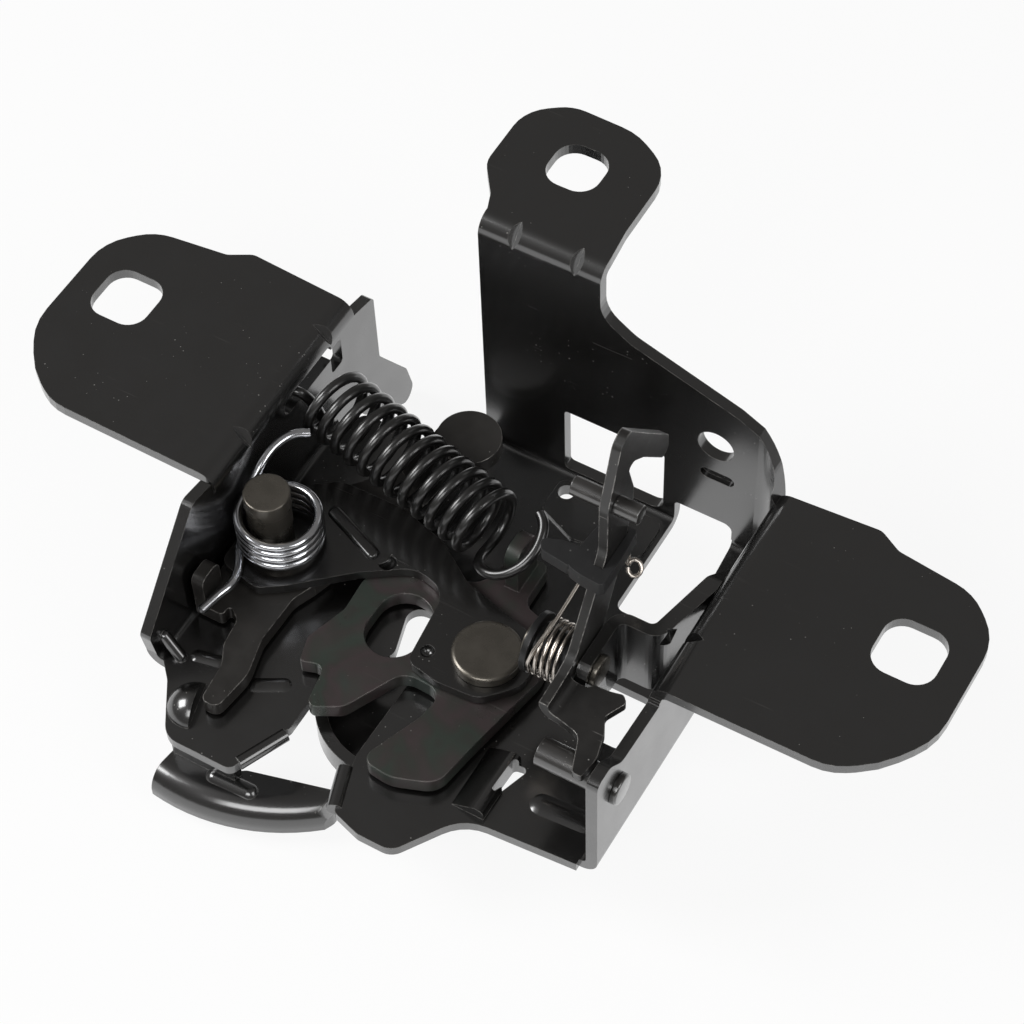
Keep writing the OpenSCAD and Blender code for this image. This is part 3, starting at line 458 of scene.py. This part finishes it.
def pawl_turn(share, angle):
    rise = PAWL_TURNS * PAWL_PITCH * share
    return pawl_coil + Vector((PAWL_COIL_R * math.cos(angle), PAWL_COIL_R * math.sin(angle), rise))


pawl_wire = ([(-43.0, -47.8, pawl_low), (-42.1, -43.0, pawl_low), (-41.2, -39.0, pawl_low),
              (-42.0, -35.6, pawl_low), (-43.9, -32.2, pawl_low), (-45.6, -29.2, pawl_low)]
             + coil(PAWL_TURNS, pawl_turn, start=200.0, step=-18.0)
             + [(-46.7, -20.6, pawl_low + 10.6), (-46.4, -16.4, pawl_low + 13.0),
                (-45.4, -12.0, pawl_low + 14.2), (-43.6, -9.0, pawl_low + 14.4),
                (-41.2, -7.2, pawl_low + 14.2)])
wire_piece("pawl_torsion_spring", "pawl_spring", pawl_wire, PAWL_WIRE_R)

# Extension spring from the left wall's slot to a hook round the claw's tab
CLAW_WIRE_R, CLAW_COIL_R, CLAW_TURNS = 1.15, 7.3, 12
CLAW_COIL_LEFT = Vector((-43.3, 3.4, -6.6))
CLAW_COIL_RIGHT = Vector((1.0, -5.7, -10.9))
coil_way = (CLAW_COIL_RIGHT - CLAW_COIL_LEFT).normalized()
coil_side = coil_way.cross(Vector((0, 0, 1))).normalized()
coil_up = coil_side.cross(coil_way)


def claw_turn(share, angle):
    return (CLAW_COIL_LEFT.lerp(CLAW_COIL_RIGHT, share)
            + CLAW_COIL_R * (math.cos(angle) * coil_side + math.sin(angle) * coil_up))


claw_wire = ([(-52.2, -0.5, -4.0), (-49.6, 0.0, -3.6), (-47.6, 0.6, -4.6),
              (-45.8, 1.6, -8.5), (-44.6, 2.6, -12.9)]
             + coil(CLAW_TURNS, claw_turn, start=-90.0, step=20.0)
             + [claw_turn(1.03, math.radians(-50)), (3.4, -13.6, -14.6), (7.1, -14.0, -13.3),
                (10.4, -12.0, -11.6), (12.3, -8.6, -9.6), (12.4, -5.0, -8.0),
                (11.2, -2.0, -6.9), (9.6, -0.6, -6.6)])
wire_piece("claw_extension_spring", "claw_spring", claw_wire, CLAW_WIRE_R)

# Small torsion spring on the lever's bush, with its long leg up to the clip
LEVER_WIRE_R, LEVER_COIL_R, LEVER_TURNS, LEVER_REACH = 0.45, 5.95, 4, 5.65
lever_coil = lever_axis + Vector((26.85, 0, 0))


def lever_turn(share, angle):
    return lever_coil + Vector((LEVER_REACH * share, LEVER_COIL_R * math.cos(angle),
                                LEVER_COIL_R * math.sin(angle)))


lever_wire = ([(32.0, -22.8, 14.2), (29.6, -28.6, 6.0), (26.85, -35.15, -2.0)]
              + coil(LEVER_TURNS, lever_turn, start=180.0, step=22.5))
wire_piece("lever_return_spring", "lever_spring", lever_wire, LEVER_WIRE_R)

# Wire eye caught under the clip, moving with the lever
EYE_WIRE_R, EYE_R, EYE_TURNS = 0.42, 1.6, 0.92
EYE_CENTRE = Vector((38.1, -13.1, 9.8))
EYE_ACROSS, EYE_UP = Vector((0.704, 0.439, 0.0)), Vector((-0.429, 0.687, 0.587))


def eye_turn(share, angle):
    return EYE_CENTRE + EYE_R * (math.cos(angle) * EYE_ACROSS + math.sin(angle) * EYE_UP)


eye_wire = ([(36.4, -13.2, 16.0), (36.5, -12.9, 14.4), (36.6, -13.0, 12.2)]
            + coil(EYE_TURNS, eye_turn, start=150.0, step=-24.0))
wire_piece("lever_spring_eye", "release_lever", eye_wire, EYE_WIRE_R, "spring_steel")


# Turned pins and studs: spun from a profile, with eased edges

def turned_piece(name, node, place, along, profile, width=0.25, hollow=False):
    """Profile rows of (place along the axis, radius) in millimetres, spun about an axis along Z or X."""
    shape = bmesh.new()
    knots = [shape.verts.new((radius * MM, 0, reach * MM)) for reach, radius in profile]
    for first, second in zip(knots, knots[1:] + (knots[:1] if hollow else [])):
        shape.edges.new((first, second))
    bmesh.ops.spin(shape, geom=shape.verts[:] + shape.edges[:], cent=(0, 0, 0), axis=(0, 0, 1),
                   angle=2 * math.pi, steps=72, use_merge=True)
    bmesh.ops.remove_doubles(shape, verts=shape.verts, dist=1e-7)
    bmesh.ops.recalc_face_normals(shape, faces=shape.faces)
    ease(shape, width)
    if along == "X":
        bmesh.ops.rotate(shape, verts=shape.verts, cent=(0, 0, 0),
                         matrix=Matrix.Rotation(math.pi / 2, 3, "Y"))
    bmesh.ops.translate(shape, verts=shape.verts, vec=place * MM)
    even_light(finished(name, mesh_from(shape), node))


turned_piece("claw_rivet", "claw_stud", claw_axis, "Z", [
    (rivet_low, 0), (rivet_low, 6), (FLOOR_LOW, 6), (FLOOR_LOW, 4.5), (PLATE_TOP, 4.5),
    (PLATE_TOP, 7.3), (-17.7, 7.3), (-17.3, 6.6), (-17.3, 0)])
turned_piece("pawl_pin", "pawl_stud", pawl_axis, "Z", [
    (rivet_low, 0), (rivet_low, 5.5), (FLOOR_LOW, 5.5), (FLOOR_LOW, 4), (PLATE_TOP, 4),
    (PLATE_TOP, 4.5), (-14.1, 4.5), (-14.1, 4.7), (-8.1, 4.7), (-8.1, 4.9),
    (-4.2, 4.9), (-4, 4.6), (-4, 0)], width=0.1)
turned_piece("hinge_rivet", "lever_pin", lever_axis, "X", [
    (23.6, 0), (23.6, 3.5), (24.8, 3.5), (24.8, 3), (38.8, 3), (38.8, 3.4), (40, 3.4), (40, 0)])
turned_piece("hinge_bush", "lever_bush", lever_axis, "X", [
    (24.8, 3.05), (24.8, 6.5), (26.2, 6.5), (26.2, 4.5), (33.7, 4.5), (33.7, 3.05)], width=0.2, hollow=True)
turned_piece("cable_pin", "lever_cross_pin", CROSS_PIN_AXIS, "X", [
    (26.8, 0), (26.8, 2), (34, 2), (34, 1.6), (36, 1.6), (36, 2), (41.2, 2), (41.2, 0)], width=0.18)
turned_piece("foot_stop", "stop_pin", STOP_AXIS, "X", [
    (37.1, 0), (37.1, 3), (51.3, 3), (51.3, 2.25), (53.8, 2.25), (53.8, 3.3),
    (54.9, 3.3), (55.2, 3.0), (55.2, 0)], width=0.15)


# Stamped and moulded pieces: merged copies of their solids, with eased edges

def stamped_piece(name, node, width, flat_above=None):
    """Copy of a node's solid with its edges eased; what stands above a height is pressed flat to it."""
    shape = bmesh.new()
    shape.from_mesh(latch[node].data)
    bmesh.ops.remove_doubles(shape, verts=shape.verts, dist=1e-6)
    if flat_above is not None:
        for vert in shape.verts:
            vert.co.z = min(vert.co.z, flat_above * MM)
    bmesh.ops.dissolve_limit(shape, angle_limit=math.radians(0.6), use_dissolve_boundaries=False,
                             verts=shape.verts, edges=shape.edges)
    ease(shape, width, segments=2)
    even_light(finished(name, mesh_from(shape), node))


stamped_piece("catch_claw", "claw", width=0.22)
stamped_piece("release_pawl", "pawl", width=0.22)
stamped_piece("tie_plate", "pivot_plate", width=0.18, flat_above=PLATE_TOP)
stamped_piece("hook_lever", "release_lever", width=0.2)
stamped_piece("stem_clip", "lever_clip", width=0.2)

# Low ridge pressed up in the tie plate
RIDGE_LONG, RIDGE_WIDE, RIDGE_HIGH = 15.9, 3.0, 1.5
RIDGE_END_R, RIDGE_TOP_R = 1.3, 0.8
RIDGE_CENTRE, RIDGE_TURN = Vector((-26.65, -15.5, -20.0)), math.radians(-22.2)
ridge = bmesh.new()
bmesh.ops.create_cube(ridge, size=1.0,
                      matrix=Matrix.Diagonal((RIDGE_LONG * MM, RIDGE_WIDE * MM, RIDGE_HIGH * MM, 1.0)))
corners = [e for e in ridge.edges if e.verts[0].co.z * e.verts[1].co.z < 0]
round_off(ridge, corners, RIDGE_END_R, segments=6)
rim = [e for e in ridge.edges if min(v.co.z for v in e.verts) > 0]
round_off(ridge, rim, RIDGE_TOP_R, segments=5)
bmesh.ops.rotate(ridge, verts=ridge.verts, cent=(0, 0, 0), matrix=Matrix.Rotation(RIDGE_TURN, 3, "Z"))
bmesh.ops.translate(ridge, verts=ridge.verts, vec=RIDGE_CENTRE * MM)
finished("tie_plate_ridge", mesh_from(ridge), "pivot_plate", "plate_black")

# Bottom of the pocket that the strap rings, under the floor beside the striker's slot
STRAP_CENTRE, STRAP_R, STRAP_ARC = (0.5, -41.0), 15.8, range(200, 281, 8)
POCKET_EDGE = [(4, -56), (4, -34), (-6, -34), (-10, -37), (-13.5, -42)]
POCKET_LOW, POCKET_T = -35.9, 1.5
strap_inside = [(STRAP_CENTRE[0] + STRAP_R * math.cos(math.radians(way)),
                 STRAP_CENTRE[1] + STRAP_R * math.sin(math.radians(way))) for way in STRAP_ARC]
pocket = bmesh.new()
base = pocket.faces.new([pocket.verts.new((x * MM, y * MM, POCKET_LOW * MM))
                         for x, y in strap_inside + POCKET_EDGE])
raised = bmesh.ops.extrude_face_region(pocket, geom=[base])
bmesh.ops.translate(pocket, verts=[v for v in raised["geom"] if isinstance(v, bmesh.types.BMVert)],
                    vec=(0, 0, POCKET_T * MM))
bmesh.ops.recalc_face_normals(pocket, faces=pocket.faces)
ease(pocket, 0.3, segments=2, least=40.0)
even_light(finished("slot_pocket", mesh_from(pocket), "base_frame", "frame_black"))


# Floor and light, in metres

FLOOR_HALF, FLOOR_GAP = 3.0, 0.0005
PAPER, PAPER_ROUGH, PAPER_WHITE = (0.85, 0.85, 0.85), 0.9, 0.9
SKY, SKY_STRENGTH = (1.0, 0.97, 0.94), 0.172


def white_where_seen(tree, shaded, share):
    """Shader that shows plain white to the eye and to reflections by that share, else the shaded one."""
    path = add(tree, "ShaderNodeLightPath").outputs
    eye = greater(tree, path["Is Camera Ray"], path["Is Glossy Ray"])
    seen = greater(tree, eye, path["Is Transmission Ray"])
    white = add(tree, "ShaderNodeEmission", None, {"Color": (1, 1, 1, 1), "Strength": 1.0}).outputs[0]
    return add(tree, "ShaderNodeMixShader", {0: scaled(tree, seen, share), 1: shaded, 2: white}).outputs[0]


floor_shape = bmesh.new()
bmesh.ops.create_grid(floor_shape, x_segments=1, y_segments=1, size=FLOOR_HALF,
                      matrix=Matrix.Translation((0, 0, cad_low.z - FLOOR_GAP)))
floor_mesh = bpy.data.meshes.new("studio_floor")
floor_shape.to_mesh(floor_mesh)
floor_shape.free()
studio_floor = bpy.data.objects.new("studio_floor", floor_mesh)
scene.collection.objects.link(studio_floor)
paper, paper_tree, paper_surface = new_finish("white paper")
set_sockets(paper_surface, {"Base Color": rgb(PAPER), "Roughness": PAPER_ROUGH})
paper_tree.links.new(white_where_seen(paper_tree, paper_surface.outputs[0], PAPER_WHITE),
                     paper_tree.nodes["Material Output"].inputs["Surface"])
floor_mesh.materials.append(paper)

world = bpy.data.worlds.new("studio")
scene.world = world
world.use_nodes = True
set_sockets(world.node_tree.nodes["Background"], {"Color": rgb(SKY), "Strength": SKY_STRENGTH})


def soft_box(name, place, size, watts):
    """Rectangular lamp aimed at the origin."""
    lamp = bpy.data.lights.new(name, "AREA")
    lamp.shape = "RECTANGLE"
    lamp.size, lamp.size_y = size
    lamp.energy = watts
    holder = bpy.data.objects.new(name, lamp)
    scene.collection.objects.link(holder)
    aim = (-Vector(place)).to_track_quat("-Z", "Y").to_matrix().to_4x4()
    holder.matrix_world = Matrix.Translation(place) @ aim


soft_box("key_left", place=(-0.75, -0.35, 0.75), size=(0.5, 0.5), watts=7.5)
soft_box("fill_right", place=(0.8, -0.1, 0.55), size=(0.45, 0.6), watts=2.6)
soft_box("top_front", place=(0.15, -0.75, 0.7), size=(0.6, 0.4), watts=3.6)


# Camera fitted to the photo: its direction, distance in metres and lens in pixels

AZIMUTH, ELEVATION, ROLL = (math.radians(v) for v in (31.948, 54.076, -2.209))
DISTANCE = 0.577272
LENS_PX, IMAGE_PX, SENSOR_MM = 2905.263, 1024, 36.0
TARGET = Vector((0.007975, -0.008648, 0.0025))
back = Vector((math.sin(AZIMUTH) * math.cos(ELEVATION), -math.cos(AZIMUTH) * math.cos(ELEVATION),
               math.sin(ELEVATION)))
level = Vector((math.cos(AZIMUTH), math.sin(AZIMUTH), 0))
upright = back.cross(level)
across = math.cos(ROLL) * level + math.sin(ROLL) * upright
upward = math.cos(ROLL) * upright - math.sin(ROLL) * level
lens = bpy.data.cameras.new("photo_camera")
lens.sensor_width = SENSOR_MM
lens.lens = LENS_PX / IMAGE_PX * SENSOR_MM
camera = bpy.data.objects.new("photo_camera", lens)
scene.collection.objects.link(camera)
turn = Matrix((across, upward, back)).transposed().to_4x4()
camera.matrix_world = Matrix.Translation(TARGET + back * DISTANCE) @ turn
scene.camera = camera
